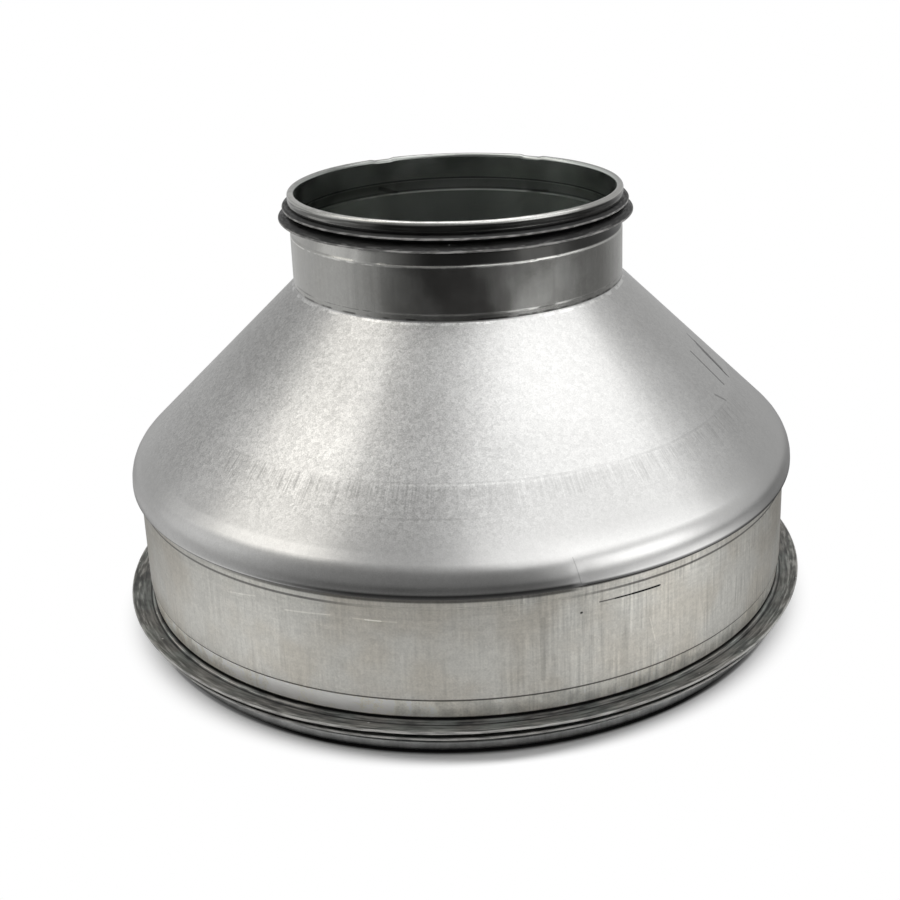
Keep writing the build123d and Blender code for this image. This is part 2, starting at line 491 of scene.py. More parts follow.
# Shared effects of the finishes, as shader groups, with lengths in millimetres
AROUND_RADIUS = 100.0
CRYSTAL_DENSITY = 0.4
CRYSTAL_SHARE = 0.4
SPECK_SHARE = 1.8
GRAIN_MIDDLE = 1.1
SCRATCH_CORE = 0.4
VECTORS = ("Position", "Millimetres", "Around", "Start", "End")


def effect_group(name, inputs, outputs):
    """The sockets inside a new shader group, which are vectors or plain values by their names."""
    kinds = {socket: "Vector" if socket in VECTORS else "Float" for socket in (*inputs, *outputs)}
    given, results = ({socket: kinds[socket] for socket in side} for side in (inputs, outputs))
    return open_group(name, "ShaderNodeTree", given, results)[1:]


def axis_group():
    """Places on the object about its axis. Angle 0 faces the camera, and Side is the angle away from it."""
    outputs = ("Millimetres", "Angle", "Side", "Radius", "Height", "Around")
    given, result = effect_group("about_the_axis", ("Position",), outputs)
    millimetres = vector_calc("SCALE", given["Position"], 1 / MM)
    parts = add("ShaderNodeSeparateXYZ", {0: millimetres}).outputs
    angle = calc("DEGREES", calc("ARCTAN2", parts["X"], product(parts["Y"], -1.0)))
    level = add("ShaderNodeCombineXYZ", {0: parts["X"], 1: parts["Y"]}).outputs[0]
    plug(result["Millimetres"], millimetres)
    plug(result["Angle"], angle)
    plug(result["Side"], calc("ABSOLUTE", angle))
    plug(result["Radius"], vector_calc("LENGTH", level, output="Value"))
    plug(result["Height"], parts["Z"])
    plug(result["Around"], vector_calc("SCALE", vector_calc("NORMALIZE", level), AROUND_RADIUS))


def grain_group():
    """Fine zinc grain: a tone near 1 with specks and soft crystals, and a height."""
    given, result = effect_group("zinc_grain", ("Millimetres", "Size", "Contrast"), ("Tone", "Height"))
    density = calc("DIVIDE", 1.0, given["Size"])
    specks = add("ShaderNodeTexNoise", {"Vector": given["Millimetres"], "Scale": density, "Detail": 3.0})
    sway = vector_calc("SCALE", specks.outputs[1], given["Size"])
    spot = vector_calc("ADD", given["Millimetres"], sway)
    cells = {"Vector": spot, "Scale": product(density, CRYSTAL_DENSITY)}
    crystals = add("ShaderNodeTexVoronoi", cells).outputs["Color"]
    crystal_tone = add("ShaderNodeSeparateColor", {0: crystals}).outputs[0]
    crystal_tone = product(crystal_tone, CRYSTAL_SHARE)
    mixed = calc("MULTIPLY_ADD", specks.outputs[0], SPECK_SHARE, crystal_tone)
    plug(result["Tone"], swing(mixed, GRAIN_MIDDLE, given["Contrast"]))
    plug(result["Height"], mixed)


def streak_group():
    """Streaks drawn along the wall, from rim to rim: a tone near 1."""
    inputs = ("Around", "Height", "Width", "Length", "Contrast")
    given, result = effect_group("drawn_streaks", inputs, ("Tone",))
    stretch = calc("DIVIDE", given["Width"], given["Length"])
    lift = add("ShaderNodeCombineXYZ", {2: product(given["Height"], stretch)}).outputs[0]
    spot = vector_calc("ADD", given["Around"], lift)
    density = calc("DIVIDE", 1.0, given["Width"])
    lines = add("ShaderNodeTexNoise", {"Vector": spot, "Scale": density, "Detail": 2.0, "Roughness": 0.6})
    plug(result["Tone"], swing(lines.outputs[0], 0.5, given["Contrast"]))


def scratch_group():
    """A straight mark on the unrolled surface, between two places given as angle and height."""
    inputs = ("Angle", "Height", "Start", "End", "Width", "Radius")
    given, result = effect_group("scratch_mark", inputs, ("Mask",))
    unroll = add("ShaderNodeCombineXYZ", {0: calc("RADIANS", given["Radius"]), 1: 1.0}).outputs[0]
    spot = add("ShaderNodeCombineXYZ", {0: given["Angle"], 1: given["Height"]}).outputs[0]
    to_spot = vector_calc("MULTIPLY", vector_calc("SUBTRACT", spot, given["Start"]), unroll)
    to_end = vector_calc("MULTIPLY", vector_calc("SUBTRACT", given["End"], given["Start"]), unroll)
    along = vector_calc("DOT_PRODUCT", to_spot, to_end, output="Value")
    whole = vector_calc("DOT_PRODUCT", to_end, to_end, output="Value")
    nearest = vector_calc("SCALE", to_end, calc("DIVIDE", along, whole, clamp=True))
    away = vector_calc("DISTANCE", to_spot, nearest, output="Value")
    half_width = product(given["Width"], 0.5)
    core = product(half_width, SCRATCH_CORE)
    plug(result["Mask"], between(away, core, half_width, 1.0, 0.0))


def line_group():
    """A thin line round the object at one height: a mask that fades on both sides of its core."""
    given, result = effect_group("line_round", ("Height", "At", "Width"), ("Mask",))
    away = calc("ABSOLUTE", calc("SUBTRACT", given["Height"], given["At"]))
    half_width = product(given["Width"], 0.5)
    plug(result["Mask"], between(away, product(half_width, 0.5), half_width, 1.0, 0.0))


# Parts of the finishes. Each change is where it starts and ends, and the values before and after it
BACK_TURN = (115.0, 175.0)
FINE_DETAIL = 4.0
SMEAR_DETAIL = 3.0


def place_group(name, inputs):
    """Outputs of a shader group placed in a tree, with its inputs set."""
    return add("ShaderNodeGroup", inputs, node_tree=bpy.data.node_groups[name]).outputs


def new_material(name):
    """A node material, its Principled shader and its places about the axis."""
    material = bpy.data.materials.new(name)
    material.use_nodes = True
    tree = material.node_tree
    position = tree.nodes.new("ShaderNodeTexCoord").outputs["Object"]
    place = place_group("about_the_axis", {"Position": position})
    return material, tree.nodes["Principled BSDF"], place


def noise(place, size, detail=2.0, shift=0.0):
    """Soft noise between 0 and 1 with features of a size in millimetres."""
    spot = vector_calc("ADD", place["Millimetres"], (shift, shift, shift))
    return add("ShaderNodeTexNoise", {"Vector": spot, "Scale": 1 / size, "Detail": detail}).outputs[0]


def patches(place, size, shift, *change, detail=2.0):
    """Soft patches of a size in millimetres, as a change of noise that is shifted to look different."""
    return between(noise(place, size, detail, shift), *change)


def smeared(place, stretch, detail, density=1.0):
    """Noise stretched along the object's own directions, each with its share of the density."""
    spot = {number: product(place[name], share) for number, (name, share) in enumerate(stretch)}
    spot = add("ShaderNodeCombineXYZ", spot).outputs[0]
    return add("ShaderNodeTexNoise", {"Vector": spot, "Scale": density, "Detail": detail}).outputs[0]


def grain_of(place, size, contrast):
    """Tone and height of zinc grain of a size in millimetres."""
    grain = {"Millimetres": place["Millimetres"], "Size": size, "Contrast": contrast}
    return place_group("zinc_grain", grain)


def streaks_of(place, width, length, contrast):
    """Tone of drawn streaks of a width and length in millimetres."""
    streaks = {"Width": width, "Length": length, "Contrast": contrast}
    spot = {"Around": place["Around"], "Height": place["Height"]}
    return place_group("drawn_streaks", {**spot, **streaks})["Tone"]


def left_to_right(place, *changes):
    """Changes from left to right across the front, each with a change back behind the object, multiplied."""
    values = []
    for start, end, left, right in changes:
        front = between(place["Angle"], start, end, left, right)
        values.append(between(place["Angle"], *BACK_TURN, front, left))
    return product(*values)


def scratches(place, marks, radius):
    """Sum of straight marks, each with its start and end as (angle, height), width and strength."""
    shade = 0.0
    spot = {"Angle": place["Angle"], "Height": place["Height"], "Radius": radius}
    for start, end, width, strength in marks:
        mark = {"Start": (*start, 0.0), "End": (*end, 0.0), "Width": width}
        mask = place_group("scratch_mark", {**spot, **mark})["Mask"]
        shade = calc("MULTIPLY_ADD", mask, strength, shade)
    return shade


def lines_round(height, *lines):
    """Sum of thin lines round the object, each with its height, width and strength."""
    shade = 0.0
    for at, width, strength in lines:
        mask = place_group("line_round", {"Height": height, "At": at, "Width": width})["Mask"]
        shade = calc("MULTIPLY_ADD", mask, strength, shade)
    return shade


def swing(value, middle, share, base=1.0):
    """A share of a value's swing about its middle, moved to a base."""
    return calc("MULTIPLY_ADD", calc("SUBTRACT", value, middle), share, base)


def less(tone, *darks):
    """A tone made darker by one mask after another."""
    for dark in darks:
        tone = product(tone, calc("SUBTRACT", 1.0, dark, clamp=True))
    return tone


def tint(color, tone):
    """A colour made lighter or darker by a tone."""
    return vector_calc("SCALE", color, tone)


def blend(mask, low, high):
    """A colour between two colours."""
    low, high = ((*color, 1.0) if isinstance(color, tuple) else color for color in (low, high))
    return add("ShaderNodeMix", {"Factor": mask, "A": low, "B": high}, data_type="RGBA").outputs["Result"]


def bumped(shader, height, depth):
    """Fine relief, with its depth in millimetres."""
    bump = add("ShaderNodeBump", {"Height": height, "Distance": depth * MM, "Strength": 1.0})
    plug(shader.inputs["Normal"], bump.outputs[0])


def attribute(tree, name):
    """Value of a named attribute of the mesh."""
    node = tree.nodes.new("ShaderNodeAttribute")
    node.attribute_name = name
    return node.outputs["Fac"]


def dress_zinc(shader, outside, inside, roughness, metallic=1.0):
    """Sets what the zinc finishes share: a colour on each side of the sheet, and its gloss."""
    inner = attribute(shader.id_data, "inner")
    plug(shader.inputs["Base Color"], blend(inner, outside, inside))
    plug(shader.inputs["Roughness"], roughness)
    shader.inputs["Metallic"].default_value = metallic


# Small spigot, with heights in millimetres and angles in degrees, as in all the finishes
# Zinc of the inside: a darker, greener copy of the outside zinc, as painted shade
INSIDE_SHADED_ZINC = (0.53, 0.555, 0.53)
TUBE_ZINC = ((0.555, 0.545, 0.515), (0.585, 0.59, 0.572))
TUBE_SMUDGE = 14.0
TUBE_GRAIN = (0.7, 0.1)
TUBE_STREAKS = (1.6, 40.0, 0.16)
TUBE_GLOSS = (0.3, 0.7, 0.17, 0.27)
TUBE_RELIEF = 0.003
TUBE_LINES = [(NECK_Z + 0.9, 0.9, 0.6), (NECK_Z + JAW_FOOT + 0.2, 0.5, 0.35)]
BROKEN_LINES = (5.0, 20.0, 0.38, 0.55)
# Light broken lines on the ledge's edge and the rim's crown: wear and a painted highlight, faint on the right
RUBBED_AND_LIT_EDGES = [(SMALL_STEP_Z - 0.2, 0.6, 0.6), (TOP_Z - 0.1, 0.8, 0.25)]
RUBBED_AND_LIT_SIDE = (30.0, 50.0, 1.0, 0.1)
# Painted shade on the spigot under the small seal's lips, strong from the front round to the right
LIP_SHADE_Z = ((SMALL_STEP_Z + 0.35, SMALL_STEP_Z + 0.85), (SMALL_HEM_Z - 0.8, SMALL_HEM_Z))
LIP_SHADE_SIDES = ((-30.0, -8.0, 0.1, 0.9), (84.0, 98.0, 1.0, 0.3))
# Painted shade on the small hem's wall, strongest at the front
HEM_SHADE_Z = ((SMALL_HEM_Z, SMALL_HEM_Z + 0.4), (TOP_Z - 1.4, TOP_Z - 0.9))
HEM_SHADE_SIDES = ((-48.0, -20.0, 0.3, 0.75), (40.0, 80.0, 1.0, 0.72))
HEM_ROLLING = (("Angle", 0.06), ("Radius", 1.6), ("Height", 1.6))
HEM_LINES = (0.42, 0.6, 0.55, 0.0)
HEM_LINES_FOOT = (SMALL_HEM_Z, SMALL_HEM_Z + 0.3)
HEM_LINES_TOP = (TOP_Z - 1.5, TOP_Z - 0.7, 1.0, 0.15)
# Painted shade on the small rim's crown towards its sides
CROWN_SIDE_SHADE = (75.0, 105.0, 0.0, 0.3)
CROWN_Z = (TOP_Z - 1.2, TOP_Z - 0.6)
SEAT_SHADE = 0.45
SEAT_SHADE_Z = ((SMALL_STEP_Z + 0.3, SMALL_STEP_Z + 1.0), (SMALL_SEAT_END - 0.8, SMALL_SEAT_END - 0.2))
# Each shade inside: its middle, the angles to both sides where it starts to fade and ends, strength and foot
INNER_SHADES = [(-172.0, 14.0, 34.0, 0.3, NECK_Z), (-138.0, 8.0, 24.0, 0.42, SMALL_STEP_Z + 1.0)]
INNER_SHADE_FADE = 3.0
INNER_LIGHT = 1.75
INNER_LIGHT_SIDES = ((75.0, 110.0, 1.0, INNER_LIGHT), (122.0, 146.0, 1.0, 1.0 / INNER_LIGHT))
INNER_EDGE = (SMALL_STEP_Z + 0.3, 0.8, 0.45)
# Dark lines round the inside near the seat's bends
INNER_BEND_LINES = [(SMALL_SEAT_END + 0.1, 0.9, 0.6), (SMALL_STEP_Z + 1.3, 0.8, 0.4)]
INNER_MARKS = [
    ((-156.0, SMALL_STEP_Z + 0.8), (-149.0, SMALL_STEP_Z + 3.6), 2.4, 0.5),
    ((142.0, SMALL_STEP_Z + 1.6), (149.0, SMALL_STEP_Z + 0.6), 1.8, 0.4),
]


def tube_outside(place, grain_tone):
    """Tone outside the small spigot: worn edges with a painted highlight, dark neck lines, hem streaks, and
    painted shade under the lips, on the hem and on the crown's sides.
    """
    height = place["Height"]
    broken = patches(place, *BROKEN_LINES)
    # Dark broken lines round the neck and the foot of the jaw marks
    neck_lines = product(lines_round(height, *TUBE_LINES), broken)
    hem_shade = product(within(height, *HEM_SHADE_Z), left_to_right(place, *HEM_SHADE_SIDES))
    lip_shade = product(within(height, *LIP_SHADE_Z), left_to_right(place, *LIP_SHADE_SIDES))
    hem_lines = product(
        between(smeared(place, HEM_ROLLING, SMEAR_DETAIL), *HEM_LINES),
        between(height, *HEM_LINES_FOOT),
        between(height, *HEM_LINES_TOP),
    )
    crown_side_shade = product(between(place["Side"], *CROWN_SIDE_SHADE), between(height, *CROWN_Z))
    tone = product(grain_tone, streaks_of(place, *TUBE_STREAKS))
    tone = less(tone, neck_lines, hem_shade, lip_shade, hem_lines, crown_side_shade)
    rubbed_side = between(place["Angle"], *RUBBED_AND_LIT_SIDE)
    return total(tone, product(lines_round(height, *RUBBED_AND_LIT_EDGES), broken, rubbed_side))


def tube_inside(place):
    """Tone of the small spigot's inside: painted shades, dark lines near the seat's bends, a painted lit edge
    round the seal's seat and painted light on its right.
    """
    height = place["Height"]
    seat_shade = product(within(height, *SEAT_SHADE_Z), SEAT_SHADE)
    tone = less(1.0, seat_shade, scratches(place, INNER_MARKS, TUBE_R))
    for middle, fade, end, strength, foot in INNER_SHADES:
        away = calc("WRAP", calc("SUBTRACT", place["Angle"], middle), 180.0, -180.0)
        shade = between(calc("ABSOLUTE", away), fade, end, strength, 0.0)
        tone = less(tone, product(shade, between(height, foot, foot + INNER_SHADE_FADE)))
    tone = less(tone, lines_round(height, *INNER_BEND_LINES))
    tone = total(tone, lines_round(height, INNER_EDGE))
    return product(tone, *(between(place["Angle"], *change) for change in INNER_LIGHT_SIDES))


def tube_finish():
    """Small spigot: zinc rubbed smooth by the expander's jaws, with painted shade on the inside."""
    material, shader, place = new_material("burnished_tube_zinc")
    grain = grain_of(place, *TUBE_GRAIN)
    smudge = noise(place, TUBE_SMUDGE)
    outside = tint(blend(smudge, *TUBE_ZINC), tube_outside(place, grain["Tone"]))
    inside = tint(INSIDE_SHADED_ZINC, tube_inside(place))
    dress_zinc(shader, outside, inside, between(smudge, *TUBE_GLOSS))
    bumped(shader, grain["Height"], TUBE_RELIEF)
    return material


# Cone and shoulder
CONE_ZINC = ((0.645, 0.64, 0.63), (0.69, 0.69, 0.68))
CONE_MIDDLE_R = 95.0
CONE_SMUDGE = 30.0
CONE_GRAIN = (0.46, 0.6)
GRAIN_UP = (64.0, 80.0, 0.25, 1.0)
GRAIN_RIGHT = (-15.0, 20.0, 1.0, 0.45)
GRAIN_DEPTH = 0.012
SHEET_WAVE = 0.12
SHEET_WAVE_SIZE = 16.0
SHEET_WAVE_SHIFT = 80.0
SMUDGED_GLOSS = 0.1
SHOULDER_GLOSS = (68.0, 80.0, 0.3, 0.33)
DRAW_STREAKS = (0.65, 30.0, 1.2)
DRAW_MIDDLE = 1.05
DRAW_EDGE = 85.3
DRAW_FOOT = (84.2, 87.2)
DRAW_TOP = (DRAW_EDGE - 0.6, DRAW_EDGE + 0.3, 1.0, 0.0)
DRAW_UNEVEN = 11.0
DRAW_UNEVEN_DENSITY = 0.35
DRAW_PATCHES = (9.0, 40.0, 0.3, 0.6, 0.6, 1.0)
DRAW_SIDES = ((-30.0, 0.0, 1.15, 0.55), (-58.0, -46.0, 0.15, 1.0))
DRAW_LINE = (DRAW_EDGE, 0.8, 0.1)
DRAW_LINE_PATCHES = (0.4, 0.6, 0.3, 1.0)
DRAW_LIGHT = (DRAW_EDGE - 0.3, 0.7, 0.14)
DRAW_LIGHT_SPAN = ((-24.0, -8.0), (4.0, 12.0))
LOW_DRAW_LINE = (76.9, 0.6, 0.1)
LOW_DRAW_SPAN = ((-28.0, -18.0), (-2.0, 6.0))
DRAWN_TONE = (DRAW_EDGE - 1.6, DRAW_EDGE, 0.88, 1.0)
DRAWN_LEFT = (-56.0, -42.0, 0.0, 0.75)
DRAWN_FRONT = (-24.0, -8.0, 1.0, 1.33)
DRAWN_RIGHT = (20.0, 45.0, 1.0, 0.55)
# Painted shade on the cone: high on its left, on the front to the right, and towards its sides
UPPER_SHADE = (90.0, 110.0, 0.0, 0.12)
UPPER_LEFT = (-12.0, 0.0, 1.0, 0.0)
CONE_FRONT_SHADE = 0.07
CONE_FRONT_SHADE_SPAN = ((-2.0, 8.0), (22.0, 36.0))
CONE_FRONT_SHADE_Z = ((66.0, 74.0), (92.0, 104.0))
CONE_SIDE_SHADE = (53.0, 62.0, 0.0, 0.1)
CREASE_SIDES = (CREASE - 1.5, CREASE + 1.5, 0.0, 1.0)
BAND_LEFT = (-40.0, -15.0, 0.0, 1.0)
BAND_SHADE = (LARGE_SPIGOT + 2.7, LARGE_SPIGOT + 7.5, 0.05, 0.0)
# Painted shade lines along the fold under the shoulder
FOLD_SHADE_LINE = (LARGE_SPIGOT + 0.75, 1.9, 0.85)
LEFT_FOLD_SHADE_LINE = (LARGE_SPIGOT + 1.3, 3.6, 0.85)
RIGHT_FOLD_SHADE_LINE = (LARGE_SPIGOT + 1.0, 3.0, 0.8)
# Painted highlight on the shoulder, from the crease rightwards
SHOULDER_HIGHLIGHT = 0.3
SHOULDER_HIGHLIGHT_Z = (62.0, 72.0, 1.0, 0.0)
SHOULDER_HIGHLIGHT_SPAN = ((CREASE - 7.0, CREASE + 1.5), (40.0, 58.0))
# Painted highlights: along the shoulder's bend on the left, and broken ones just under the neck
RIM_SHINE = (67.2, 4.4, 0.16)
RIM_SHINE_SPAN = ((-64.0, -46.0), (-26.0, -6.0))
NECK_HIGHLIGHT = (NECK_Z - 0.3, 1.1, 0.3)
BROKEN_HIGHLIGHT = (4.0, 60.0, 0.46, 0.56)
CONE_SCRATCHES = [
    ((84.3, 101.5), (81.2, 86.3), 1.3, 0.9),
    ((82.9, 98.2), (80.9, 87.2), 1.1, 0.95),
    ((84.4, 98.8), (82.4, 88.6), 1.1, 0.95),
    ((82.0, 96.5), (81.4, 89.5), 0.8, 0.7),
    ((74.0, 99.8), (74.0, 87.8), 1.1, 0.85),
    ((66.0, 88.5), (68.0, 85.6), 1.1, 0.4),
    # The last mark is painted shade along the crease in the shoulder
    ((15.2, 65.5), (16.0, 57.5), 0.4, 0.24),
]
# A painted highlight streak high on the cone's left
CONE_HIGHLIGHT_STREAK = [((-23.0, 114.0), (-24.0, 89.0), 18.0, 0.1)]


def right_of_crease(place):
    """Mask of the side to the right of the crease in the shoulder."""
    return left_to_right(place, CREASE_SIDES)


def left_of_crease(place, start):
    """Mask of the front, from a change at its left to the crease in the shoulder."""
    return less(left_to_right(place, start), right_of_crease(place))


def draw_marks(place):
    """Tone of the ring of short draw marks across the cone."""
    spread = {"Vector": place["Around"], "Scale": DRAW_UNEVEN_DENSITY, "Detail": 1.0}
    lengths = add("ShaderNodeTexNoise", spread).outputs[0]
    uneven = calc("MULTIPLY_ADD", lengths, DRAW_UNEVEN, place["Height"])
    strength = product(
        between(uneven, *DRAW_FOOT),
        between(place["Height"], *DRAW_TOP),
        patches(place, *DRAW_PATCHES),
        left_to_right(place, *DRAW_SIDES),
    )
    return swing(streaks_of(place, *DRAW_STREAKS), DRAW_MIDDLE, strength)


def drawn_tone(place):
    """Tone of the cone below the draw marks' edge, darkest at the front."""
    share = product(
        left_to_right(place, DRAWN_LEFT),
        between(place["Angle"], *DRAWN_FRONT),
        between(place["Angle"], *DRAWN_RIGHT),
    )
    return swing(between(place["Height"], *DRAWN_TONE), 1.0, share)


def cone_darks(place, smudge):
    """Masks that darken the cone: scratches, draw lines, painted shade along the fold and on the band above
    it, and painted shade high on the left, at the front and to the sides.
    """
    angle = place["Angle"]
    height = place["Height"]
    band_front = left_of_crease(place, BAND_LEFT)
    left_fold_shade = product(lines_round(height, LEFT_FOLD_SHADE_LINE), band_front)
    return [
        scratches(place, CONE_SCRATCHES, CONE_MIDDLE_R),
        product(lines_round(height, DRAW_LINE), between(smudge, *DRAW_LINE_PATCHES)),
        product(lines_round(height, LOW_DRAW_LINE), within(angle, *LOW_DRAW_SPAN)),
        calc("MAXIMUM", lines_round(height, FOLD_SHADE_LINE), left_fold_shade),
        product(lines_round(height, RIGHT_FOLD_SHADE_LINE), right_of_crease(place)),
        product(between(height, *BAND_SHADE), band_front),
        product(between(height, *UPPER_SHADE), left_to_right(place, UPPER_LEFT)),
        product(within(angle, *CONE_FRONT_SHADE_SPAN), within(height, *CONE_FRONT_SHADE_Z), CONE_FRONT_SHADE),
        between(place["Side"], *CONE_SIDE_SHADE),
    ]


def cone_lights(place):
    """Light added to the cone: painted highlights under the neck and along the shoulder's bend, and a light
    line at the draw marks' edge.
    """
    angle = place["Angle"]
    height = place["Height"]
    broken = patches(place, *BROKEN_HIGHLIGHT, detail=FINE_DETAIL)
    return [
        product(lines_round(height, NECK_HIGHLIGHT), broken),
        product(lines_round(height, DRAW_LIGHT), within(angle, *DRAW_LIGHT_SPAN)),
        product(lines_round(height, RIM_SHINE), within(angle, *RIM_SHINE_SPAN)),
    ]


def cone_finish():
    """Cone and shoulder: matt zinc grain with a ring of short draw marks."""
    material, shader, place = new_material("pressed_cone_zinc")
    height = place["Height"]
    grain = grain_of(place, *CONE_GRAIN)
    smudge = noise(place, CONE_SMUDGE)
    grain_share = product(between(height, *GRAIN_UP), left_to_right(place, GRAIN_RIGHT))
    tone = product(swing(grain["Tone"], 1.0, grain_share), draw_marks(place))
    tone = product(less(tone, *cone_darks(place, smudge)), drawn_tone(place))
    # Painted highlight streak high on the left
    tone = total(tone, scratches(place, CONE_HIGHLIGHT_STREAK, CONE_MIDDLE_R))
    # Painted highlight on the shoulder right of the crease
    lit_shoulder = product(between(height, *SHOULDER_HIGHLIGHT_Z), within(place["Angle"], *SHOULDER_HIGHLIGHT_SPAN))
    tone = product(tone, calc("MULTIPLY_ADD", lit_shoulder, SHOULDER_HIGHLIGHT, 1.0))
    tone = total(tone, *cone_lights(place))
    roughness = swing(smudge, 0.5, SMUDGED_GLOSS, between(height, *SHOULDER_GLOSS))
    dress_zinc(shader, tint(blend(smudge, *CONE_ZINC), tone), INSIDE_SHADED_ZINC, roughness)
    relief = product(grain["Height"], grain_share, GRAIN_DEPTH / SHEET_WAVE)
    waves = noise(place, SHEET_WAVE_SIZE, shift=SHEET_WAVE_SHIFT)
    bumped(shader, total(relief, waves), SHEET_WAVE)
    return material


# Large spigot
COLLAR_ZINC = ((0.604, 0.577, 0.518), (0.652, 0.643, 0.602))
COLLAR_SMUDGE = 20.0
COLLAR_PATCHES = (0.35, 0.65)
HEM_ZINC = (0.59, 0.595, 0.585)
HEM_ZINC_Z = (HEM_LENGTH, HEM_LENGTH + 2.0, 1.0, 0.0)
COLLAR_METAL = 0.75
COLLAR_GLOSS = 0.45
COLLAR_RELIEF = 0.01
COLLAR_GRAIN = (0.7, 0.22)
COLLAR_STREAKS = (0.85, 22.0, 0.95)
STREAKS_RIGHT = (2.0, 9.0, 0.42, 1.0)
STREAK_PATCHES = (9.0, 15.0, 0.35, 0.62, 0.2, 1.0)
WIPING = (("Angle", 0.16), ("Height", 0.8))
WIPED_UP = (38.0, 47.0, 0.13, 0.34)
# Painted light on the large spigot below its step, strongest on the left
RAMP_PAINTED_LIGHT = (-24.0, 0.0, 1.92, 1.4)
RAMP_MOTTLE = (5.0, 33.0, 0.3, 0.7, 0.82, 1.1)
RAMP_TOP = (LARGE_STEP_Z - 0.6, LARGE_STEP_Z)
# Painted shade line at the foot of the facet, faint at the front
FACET_SHADE_LINE = (FACET_END_Z, 1.3, 0.7)
FACET_SHADE_SIDES = (12.0, 26.0, 0.2, 1.0)
FOLD_SHADE = (LARGE_SPIGOT - 0.4, 2.6, 0.72)
FOLD_SHADE_LEFT = (-52.0, -25.0, 0.0, 1.0)
RIGHT_SHADE = (LARGE_SPIGOT, 1.7, 0.8)
# The large hem and the collar just above it, darker towards the bottom
HEM_DARKENING = (0.6, HEM_LENGTH + 0.6, 0.85, 0.52)
HEM_DARKENING_END = (HEM_LENGTH + 0.6, 7.0, 1.0, 0.0)
# Painted shade towards the collar's sides
COLLAR_SIDE_SHADE = (30.0, 48.0, 0.0, 0.15)
# Painted shade lines round the collar: under the fold, under the step and in the crevice by the seal
COLLAR_SHADE_LINES = [
    (LARGE_SPIGOT + 0.1, 0.9, 0.8),
    (LARGE_STEP_Z - 0.2, 1.1, 0.72),
    (LARGE_SEAT_END - 0.1, 2.0, 0.95),
]
COLLAR_SCRATCHES = [
    ((19.4, 48.1), (30.0, 48.0), 0.7, 0.75),
    ((22.0, 48.08), (29.9, 48.0), 0.9, 0.35),
    ((25.0, 48.05), (29.8, 48.0), 1.1, 0.4),
    ((16.4, 45.6), (16.5, 45.6), 1.1, 0.9),
    ((10.5, 45.5), (10.4, 24.0), 2.4, 0.2),
]
COLLAR_SCUFFS = [
    ((-39.5, 46.2), (-34.2, 48.0), 0.7, 0.2),
    ((-28.7, 45.9), (-21.1, 47.2), 0.7, 0.25),
    ((-17.5, 47.1), (-10.8, 46.8), 0.6, 0.2),
    ((-15.6, 46.95), (-13.2, 46.85), 0.6, 0.6),
    ((28.1, 37.4), (29.2, 28.1), 0.6, 0.18),
]


def collar_darks(place):
    """Masks that darken the collar: scratches, painted shade lines round it and at the facet's foot, painted
    shade under the fold and at the sides, and a hem darker towards the bottom.
    """
    height = place["Height"]
    left_shade = product(lines_round(height, FOLD_SHADE), left_of_crease(place, FOLD_SHADE_LEFT))
    right_shade = product(lines_round(height, RIGHT_SHADE), right_of_crease(place))
    return [
        scratches(place, COLLAR_SCRATCHES, COLLAR_R),
        lines_round(height, *COLLAR_SHADE_LINES),
        product(lines_round(height, FACET_SHADE_LINE), between(place["Side"], *FACET_SHADE_SIDES)),
        calc("MAXIMUM", left_shade, right_shade),
        product(between(height, *HEM_DARKENING), between(height, *HEM_DARKENING_END)),
        between(place["Side"], *COLLAR_SIDE_SHADE),
    ]


def collar_finish():
    """Large spigot: warm dull zinc with drawn streaks, stains and handling marks."""
    material, shader, place = new_material("drawn_collar_zinc")
    height = place["Height"]
    grain = grain_of(place, *COLLAR_GRAIN)
    smudge = noise(place, COLLAR_SMUDGE)
    fine = streaks_of(place, *COLLAR_STREAKS)
    streak_share = product(left_to_right(place, STREAKS_RIGHT), patches(place, *STREAK_PATCHES))
    streaks = swing(fine, 1.0, streak_share)
    smears = swing(smeared(place, WIPING, SMEAR_DETAIL), 0.5, between(height, *WIPED_UP))
    # Painted light below the step, varied by mottled patches
    mottle = patches(place, *RAMP_MOTTLE, detail=FINE_DETAIL)
    ramp_painted_light = product(left_to_right(place, RAMP_PAINTED_LIGHT), mottle)
    ramp_light = between(height, *RAMP_TOP, ramp_painted_light, 1.0)
    tone = product(grain["Tone"], streaks, smears, ramp_light)
    tone = less(tone, *collar_darks(place))
    tone = total(tone, scratches(place, COLLAR_SCUFFS, COLLAR_R))
    color = blend(between(smudge, *COLLAR_PATCHES), *COLLAR_ZINC)
    color = blend(between(height, *HEM_ZINC_Z), color, HEM_ZINC)
    roughness = swing(smudge, 0.5, SMUDGED_GLOSS, COLLAR_GLOSS)
    dress_zinc(shader, tint(color, tone), INSIDE_SHADED_ZINC, roughness, COLLAR_METAL)
    bumped(shader, total(grain["Height"], fine), COLLAR_RELIEF)
    return material


# Seal rubber, with distances out from the spigot in millimetres
SMEARING = (("Angle", 0.25), ("Radius", 1.0), ("Height", 1.0))
SMEAR_DENSITY = 1.1
DUST = (0.33, 0.66)
DUST_SMEARS = 0.65
DUST_BLOTCHES = 0.35
BLOTCH_SIZE = 7.0
DUST_HUE = (16.0, 70.0, 0.4, 0.6)
BROWN_DUST = (1.03, 0.99, 0.96)
GREEN_DUST = (0.96, 1.01, 0.985)
# Tips of the lips lighter: wear and a painted highlight
RUBBED_AND_LIT_TIP = (0.15, 0.75)
RUBBED_AND_LIT_PATCHES = (0.38, 0.62, 0.35, 1.0)
LIP_STREAKS = (0.5, 0.66, 0.0, 0.65)
LIP_STREAKS_OUT = (2.2, 5.0)
SPECK = (0.6, 0.6, 0.58)
SPECK_DENSITY = 0.35
SPECK_EDGE = (0.1, 0.16, 1.0, 0.0)
SPECK_CHANCE = 0.93
